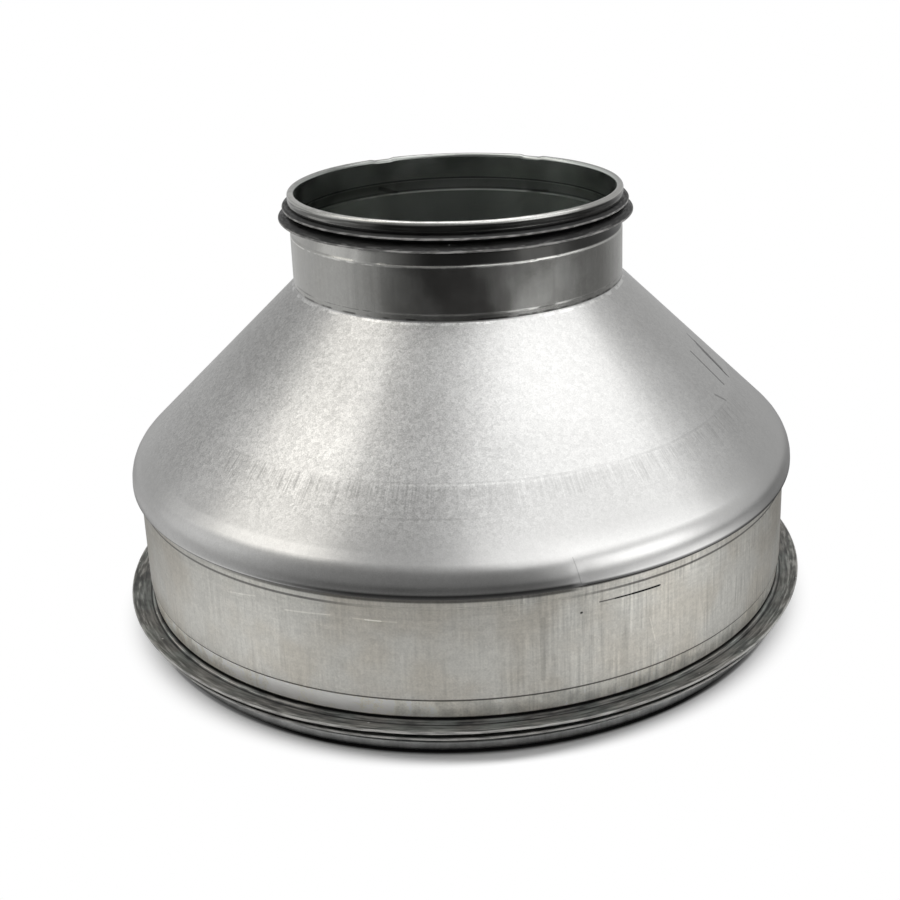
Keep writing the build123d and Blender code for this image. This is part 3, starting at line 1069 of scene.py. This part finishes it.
# Painted shade at the lips' roots and in their creases, and painted glints beside the roots and on the band's
# tail
LIP_ROOT = (-1.1, -0.5, 0.92, 0.0)
LIP_CREASE = (0.5, 0.8, 0.75)
LIP_GLINT = (-0.15, 0.6, 0.9)
LIP_GLINT_SIDES = (16.0, 30.0)
TAIL_GLINT = (0.75, 2.6)
TAIL_GLINT_OUT = (0.1, 0.3, 1.0, 0.0)
TAIL_GLINT_SPAN = ((-86.0, -72.0), (-44.0, -18.0))
TAIL_GLINT_END = 0.4
RUBBER_SHEEN = 0.25
RUBBER_GLOSS = (0.35, 0.65, 0.28, 0.52)
RUBBER_RELIEF = 0.05


def rubber_color(place, out, smears, clean, dusty, rubbed, dust_share):
    """Colour of the rubber: dust in two hues, streaks on the lips, their tips lighter with wear and a painted
    highlight, and pale specks.
    """
    blotches = product(noise(place, BLOTCH_SIZE, FINE_DETAIL), DUST_BLOTCHES)
    dust = between(calc("MULTIPLY_ADD", smears, DUST_SMEARS, blotches), *DUST)
    hue = patches(place, *DUST_HUE)
    brown = tuple(part * share for part, share in zip(dusty, BROWN_DUST))
    green = tuple(part * share for part, share in zip(dusty, GREEN_DUST))
    color = blend(product(dust, dust_share), clean, blend(hue, brown, green))
    wear = attribute(out.id_data, "wear")
    tips = product(between(wear, *RUBBED_AND_LIT_TIP), between(smears, *RUBBED_AND_LIT_PATCHES))
    streaks = product(between(smears, *LIP_STREAKS), between(out, *LIP_STREAKS_OUT))
    color = blend(calc("MAXIMUM", tips, streaks), color, rubbed)
    cells = add("ShaderNodeTexVoronoi", {"Vector": place["Millimetres"], "Scale": SPECK_DENSITY}).outputs
    chance = add("ShaderNodeSeparateColor", {0: cells["Color"]}).outputs[0]
    chosen = calc("GREATER_THAN", chance, SPECK_CHANCE)
    speck = product(between(cells["Distance"], *SPECK_EDGE), chosen, dust_share)
    return blend(speck, color, SPECK)


def rubber_tone(place, out, tail_z):
    """Tone of the rubber: painted shade at the roots of the lips and in their creases, with painted glints
    there and on the band's tail.
    """
    tone = less(1.0, between(out, *LIP_ROOT), lines_round(out, LIP_CREASE))
    glint = product(lines_round(out, LIP_GLINT), between(place["Side"], *LIP_GLINT_SIDES))
    tail_glint = product(
        lines_round(place["Height"], (tail_z, *TAIL_GLINT)),
        between(out, *TAIL_GLINT_OUT),
        within(place["Angle"], *TAIL_GLINT_SPAN),
    )
    return total(tone, glint, tail_glint)


def rubber_finish(name, spigot_r, tail_z, **colors):
    """Seal rubber: clean and dusty patches, streaks along the lips, tips lighter with wear and a painted
    highlight, pale specks, and painted shade and glints at the lips' roots.
    """
    material, shader, place = new_material(name)
    out = calc("SUBTRACT", place["Radius"], spigot_r)
    smears = smeared(place, SMEARING, FINE_DETAIL, SMEAR_DENSITY)
    color = rubber_color(place, out, smears, **colors)
    plug(shader.inputs["Base Color"], tint(color, rubber_tone(place, out, tail_z)))
    plug(shader.inputs["Roughness"], between(smears, *RUBBER_GLOSS))
    shader.inputs["Specular IOR Level"].default_value = RUBBER_SHEEN
    bumped(shader, smears, RUBBER_RELIEF)
    return material


# Pieces
WEAR_REACH = 1.2
BEYOND = 1.0

for make_group in (axis_group, grain_group, streak_group, scratch_group, line_group):
    make_group()

ring_tree = turned_ring_tree()
pressed_points, inside_shares, body_plan = sheet_outline(body_corners())
rim_gives = [1.0 if spot.y > SMALL_HEM_Z else 0.0 for spot in pressed_points]
body_profiles = [profile_object("pressed_profile", pressed_points, give=rim_gives, inner=inside_shares)]
for profile_name, corners in (
    ("strip_profile", body_corners(expanded=False)),
    ("dented_profile", body_corners(slack=DENT_SLACK)),
    ("kinked_profile", body_corners(rim_drop=RIM_KINK)),
):
    body_profiles.append(profile_object(profile_name, sheet_outline(corners, body_plan)[0]))
body = turned_piece("pressed_body", ring_tree, body_profiles, {
    "Strips": JAW_COUNT,
    "Strip Angle": math.radians(STRIP_ANGLE),
    "Strip Heading": math.radians(STRIP_HEADING),
    "Strip Edge": math.radians(STRIP_EDGE),
    "Crease Heading": math.radians(FRONT_HEADING + CREASE - CREASE_WIDTH / 2),
    "Crease Width": math.radians(CREASE_WIDTH),
    "Dent Angle": math.radians(DENT_ANGLE),
    "Ripple": RIM_RIPPLE[0] * MM,
    "Ripple Scale": RIM_RIPPLE[1],
    "Upper Break": TUBE_FOOT_Z * MM,
    "Lower Break": COLLAR_TOP_Z * MM,
    **dict(zip(MATERIALS, (tube_finish(), cone_finish(), collar_finish()))),
})


def seal(name, spigot_r, points, tips, ripple, rubber):
    """One lip seal ring, with more give and wear toward the tips of its lips."""
    reach = max(spot.x for spot in points)
    gives = [max(0.0, (spot.x - spigot_r) / (reach - spigot_r)) for spot in points]
    wears = [max(max(0.0, WEAR_REACH - (spot - tip).length / LIP_TIP) for tip in tips) for spot in points]
    profile = profile_object(f"{name}_profile", points, give=gives, wear=wears)
    return turned_piece(name, ring_tree, [profile] * len(PROFILES), {
        "Strips": 1,
        "Ripple": ripple[0] * MM,
        "Ripple Scale": ripple[1],
        "Upper Break": BEYOND,
        "Lower Break": -BEYOND,
        **dict.fromkeys(MATERIALS, rubber),
    })


clean_rubber = rubber_finish(
    "clean_seal_rubber",
    TUBE_R,
    TOP_Z - band_end(SMALL_LIPS) + TAIL_GLINT_END,
    clean=(0.006, 0.006, 0.006),
    dusty=(0.02, 0.02, 0.0195),
    rubbed=(0.36, 0.355, 0.345),
    dust_share=0.6,
)
dusty_rubber = rubber_finish(
    "dusty_seal_rubber",
    COLLAR_R,
    band_end(LARGE_LIPS) - TAIL_GLINT_END,
    clean=(0.055, 0.056, 0.055),
    dusty=(0.26, 0.262, 0.252),
    rubbed=(0.5, 0.495, 0.475),
    dust_share=1.0,
)
small_outline = seal_outline(TUBE_R, SMALL_BAND, SMALL_LIPS, TOP_Z, -1)
large_outline = seal_outline(COLLAR_R, LARGE_BAND, LARGE_LIPS, 0.0, 1)
small_seal = seal("small_rubber_seal", TUBE_R, *small_outline, SMALL_LIP_RIPPLE, clean_rubber)
large_seal = seal("large_rubber_seal", COLLAR_R, *large_outline, LARGE_LIP_RIPPLE, dusty_rubber)

for piece, node, slot in (
    (body, "reducer_body", "galvanised_sheet"),
    (small_seal, "small_end_seal", "seal_rubber"),
    (large_seal, "large_end_seal", "seal_rubber"),
):
    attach(piece, "root")
    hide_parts(node)

# Studio, in metres and degrees
SENSOR_WIDTH = 36.0
LENS = 55.49
LENS_SHIFT = (-0.104, -0.105)
CAMERA_SPOT = (0.0, -0.5111, 0.2674)
CAMERA_PITCH = 18.912
CAMERA_YAW = 3.560
CAMERA_ROLL = -0.858
LAMP_AIM = (0.0, 0.0, 0.08)
LAMP_WHITE = (1.0, 1.0, 1.0)
LAMP_CREAM = (1.0, 0.965, 0.9)
WORLD_GLOW = 0.5


def camera_axes(pitch, yaw, roll):
    """Right, up and forward of a camera that looks along +Y, turned and tilted."""
    forward = Vector((math.sin(yaw) * math.cos(pitch), math.cos(yaw) * math.cos(pitch), -math.sin(pitch)))
    level = Vector((math.cos(yaw), -math.sin(yaw), 0.0))
    upright = level.cross(forward)
    right = level * math.cos(roll) + upright * math.sin(roll)
    up = upright * math.cos(roll) - level * math.sin(roll)
    return right, up, forward


def placed(position, right, up, forward):
    """World matrix of a lamp or camera that looks along forward."""
    turn = Matrix((right, up, -forward)).transposed()
    return Matrix.Translation(position) @ turn.to_4x4()


def softbox(name, azimuth, elevation, distance, size, roll, radiance, color=LAMP_WHITE):
    """A rectangular lamp that faces the object. Azimuth 0 is the camera's side, and + is to its right."""
    across = math.radians(azimuth)
    above = math.radians(elevation)
    tilt = math.radians(roll)
    out = Vector((math.sin(across) * math.cos(above), -math.cos(across) * math.cos(above), math.sin(above)))
    level = Vector((0.0, 0.0, 1.0)).cross(out).normalized()
    upright = out.cross(level)
    right = level * math.cos(tilt) - upright * math.sin(tilt)
    up = upright * math.cos(tilt) + level * math.sin(tilt)
    lamp = bpy.data.lights.new(name, "AREA")
    lamp.shape = "RECTANGLE"
    lamp.size, lamp.size_y = size
    lamp.energy = radiance * math.pi * lamp.size * lamp.size_y
    lamp.color = color
    holder = bpy.data.objects.new(name, lamp)
    holder.matrix_world = placed(Vector(LAMP_AIM) + out * distance, right, up, -out)
    bpy.context.scene.collection.objects.link(holder)


camera_data = bpy.data.cameras.new("photo_camera")
camera_data.sensor_width = SENSOR_WIDTH
camera_data.lens = LENS
camera_data.shift_x, camera_data.shift_y = LENS_SHIFT
camera = bpy.data.objects.new("photo_camera", camera_data)
camera_turn = (math.radians(turn) for turn in (CAMERA_PITCH, CAMERA_YAW, CAMERA_ROLL))
camera.matrix_world = placed(Vector(CAMERA_SPOT), *camera_axes(*camera_turn))
bpy.context.scene.collection.objects.link(camera)
bpy.context.scene.camera = camera

softbox("key_softbox", 63.0, 55.5, distance=1.3, size=(1.68, 0.74), roll=13.0, radiance=1.1)
softbox(
    "left_softbox", -86.0, 47.5, distance=1.2, size=(0.72, 0.6), roll=-30.0, radiance=1.08, color=LAMP_CREAM,
)
softbox("overhead_softbox", 180.0, 75.0, distance=1.4, size=(1.2, 1.0), roll=0.0, radiance=1.6)

world = bpy.data.worlds.new("studio")
bpy.context.scene.world = world
world.use_nodes = True
background = world.node_tree.nodes["Background"]
rays = world.node_tree.nodes.new("ShaderNodeLightPath")
glow = between(rays.outputs["Is Camera Ray"], 0.0, 1.0, WORLD_GLOW, 1.0, smooth=False)
plug(background.inputs["Strength"], glow)
background.inputs["Color"].default_value = (1.0, 1.0, 1.0, 1.0)


def stage_mesh(name, corners, faces, material):
    """A stage piece from its corners and faces."""
    mesh = bpy.data.meshes.new(name)
    mesh.from_pydata(corners, [], faces)
    mesh.materials.append(material)
    made = bpy.data.objects.new(name, mesh)
    bpy.context.scene.collection.objects.link(made)
    return made


# Floor, with radii in millimetres, and with pairs for the front and the sides
FLOOR_REACH = 7.0
FLOOR_Z = -0.0002
FLOOR_WHITE = (0.93, 0.93, 0.93)
# Painted contact shadow round the object's foot, wider at the front
FLOOR_SHADOW = (0.02, 0.02, 0.02)
FLOOR_INSIDE = (114.0, 121.0)
SHADOW_START = 125.3
SHADOW_END = (127.9, 126.2)
FADE_START = (129.9, 121.0)
FADE_END = (134.2, 138.5)
FRONT_SHADE = 53.0
FRONT_TURN = 4.2
FLOOR_MIRRORED = 0.6


def floor_finish():
    """White floor with a painted shadow where the object touches it, that turns to even white a little
    further off.
    """
    material, paint, place = new_material("floor_paint")
    tree = material.node_tree
    paint.inputs["Roughness"].default_value = 1.0
    paint.inputs["Specular IOR Level"].default_value = 0.0
    radius = place["Radius"]
    from_front = calc("ABSOLUTE", calc("SUBTRACT", place["Angle"], FRONT_TURN))
    off_front = between(from_front, 0.0, FRONT_SHADE, smooth=False)
    contact_shadow_end, fade_start, fade_end = (
        between(off_front, 0.0, 1.0, *pair, smooth=False) for pair in (SHADOW_END, FADE_START, FADE_END)
    )
    contact_shadow = within(radius, FLOOR_INSIDE, (SHADOW_START, contact_shadow_end))
    plug(paint.inputs["Base Color"], blend(contact_shadow, FLOOR_WHITE, FLOOR_SHADOW))
    rays = tree.nodes.new("ShaderNodeLightPath").outputs
    strength = between(rays["Is Camera Ray"], 0.0, 1.0, FLOOR_MIRRORED, 1.0, smooth=False)
    seen = calc("ADD", rays["Is Camera Ray"], rays["Is Glossy Ray"], clamp=True)
    mixed = add("ShaderNodeMixShader", {
        0: product(between(radius, fade_start, fade_end), seen),
        1: paint.outputs[0],
        2: add("ShaderNodeEmission", {"Strength": strength}).outputs[0],
    })
    plug(tree.nodes["Material Output"].inputs["Surface"], mixed.outputs[0])
    return material


stage_mesh(
    "floor",
    [(x * FLOOR_REACH, y * FLOOR_REACH, FLOOR_Z) for x, y in ((-1, -1), (1, -1), (1, 1), (-1, 1))],
    [(0, 1, 2, 3)],
    floor_finish(),
)

# Cards round the object, each with its rings as (radius, height) in metres
CARD_STEPS = 72
WHOLE_TURN = (-180.0, 180.0)
NO_FADE = (1000.0, 2000.0)


def card_finish(name, stops, fade):
    """A card that glows by its bearing from the object: stops are (bearing in degrees, radiance)."""
    material, paint, place = new_material(name)
    tree = material.node_tree
    tree.nodes.remove(paint)
    ramp = tree.nodes.new("ShaderNodeValToRGB")
    plug(ramp.inputs[0], between(place["Angle"], *WHOLE_TURN, smooth=False))
    points = ramp.color_ramp.elements
    for number, (bearing, radiance) in enumerate(stops):
        spot = (bearing + 180.0) / 360.0
        point = points[number] if number < 2 else points.new(spot)
        point.position = spot
        point.color = (radiance, radiance, radiance, 1.0)
    clear = between(place["Height"], *fade)
    color = blend(clear, ramp.outputs[0], (WORLD_GLOW, WORLD_GLOW, WORLD_GLOW))
    shine = add("ShaderNodeEmission", {"Color": color, "Strength": 1.0})
    plug(tree.nodes["Material Output"].inputs["Surface"], shine.outputs[0])
    return material


def ring_card(name, rings, stops, span=WHOLE_TURN, fade=NO_FADE):
    """A card that only mirror-like surfaces see, over a span of bearings, with a fade at heights in mm."""
    start, end = span
    corners = []
    for radius, height in rings:
        for step in range(CARD_STEPS + 1):
            bearing = math.radians(start + (end - start) * step / CARD_STEPS)
            corners.append((radius * math.sin(bearing), -radius * math.cos(bearing), height))
    faces = []
    for ring in range(len(rings) - 1):
        for step in range(CARD_STEPS):
            first = ring * (CARD_STEPS + 1) + step
            faces.append((first, first + 1, first + CARD_STEPS + 2, first + CARD_STEPS + 1))
    card = stage_mesh(name, corners, faces, card_finish(f"{name}_paint", stops, fade))
    card.visible_camera = False
    card.visible_diffuse = False
    card.visible_shadow = False
    card.visible_transmission = False


ring_card("skirt_card", [(0.142, 0.001), (0.215, 0.001)], [
    (-180, 0.3), (-128, 0.3), (-103, 0.25), (-84, 0.58), (-66, 1.08), (-49, 1.1), (-31, 0.74), (-10, 0.63),
    (20, 0.68), (36, 0.84), (54, 0.84), (72, 0.48), (95, 0.15), (180, 0.3),
])
ring_card("near_card", [(0.215, 0.001), (0.4, 0.001)], [
    (-180, 0.3), (-130, 0.34), (-108, 0.58), (-80, 0.58), (-60, 0.36), (-40, 0.14), (22, 0.12), (32, 0.6),
    (42, 1.45), (62, 1.4), (76, 0.5), (90, 0.25), (180, 0.4),
])
ring_card("far_card", [(0.4, 0.001), (1.5, 0.001)], [
    (-180, 0.6), (-110, 0.52), (-89, 0.52), (-71, 0.45), (-55, 0.23), (-40, 0.07), (-20, 0.02), (2, 0.03),
    (13, 0.03), (27, 0.06), (41, 0.13), (56, 0.21), (72, 0.17), (92, 0.16), (113, 0.2), (135, 0.4),
    (180, 0.6),
])
ring_card("front_card", [(1.5, 0.001), (1.5, 2.1)], [
    (-180, 0.56), (-80, 0.56), (-50, 0.25), (-30, 0.21), (14, 0.18), (24, 0.34), (34, 0.55), (180, 0.5),
], (-80.0, 36.0), (1250.0, 2000.0))
ring_card("low_left_card", [(1.45, 0.001), (1.45, 0.38)], [
    (-180, 0.45), (-114, 0.45), (-100, 0.8), (-86, 0.8), (-66, 0.4), (180, 0.4),
], (-114.0, -66.0))
ring_card("left_card", [(1.45, 0.38), (1.45, 0.85)], [
    (-180, 0.5), (-110, 0.5), (-98, 0.9), (-78, 0.9), (-58, 0.25), (180, 0.25),
], (-110.0, -58.0), (650.0, 850.0))
ring_card("right_card", [(1.5, 0.16), (1.5, 1.0)], [
    (-180, 0.5), (36, 0.5), (44, 1.75), (68, 1.7), (82, 0.45), (180, 0.45),
], (36.0, 84.0), (850.0, 1000.0))

bpy.context.scene.view_settings.view_transform = "Standard"
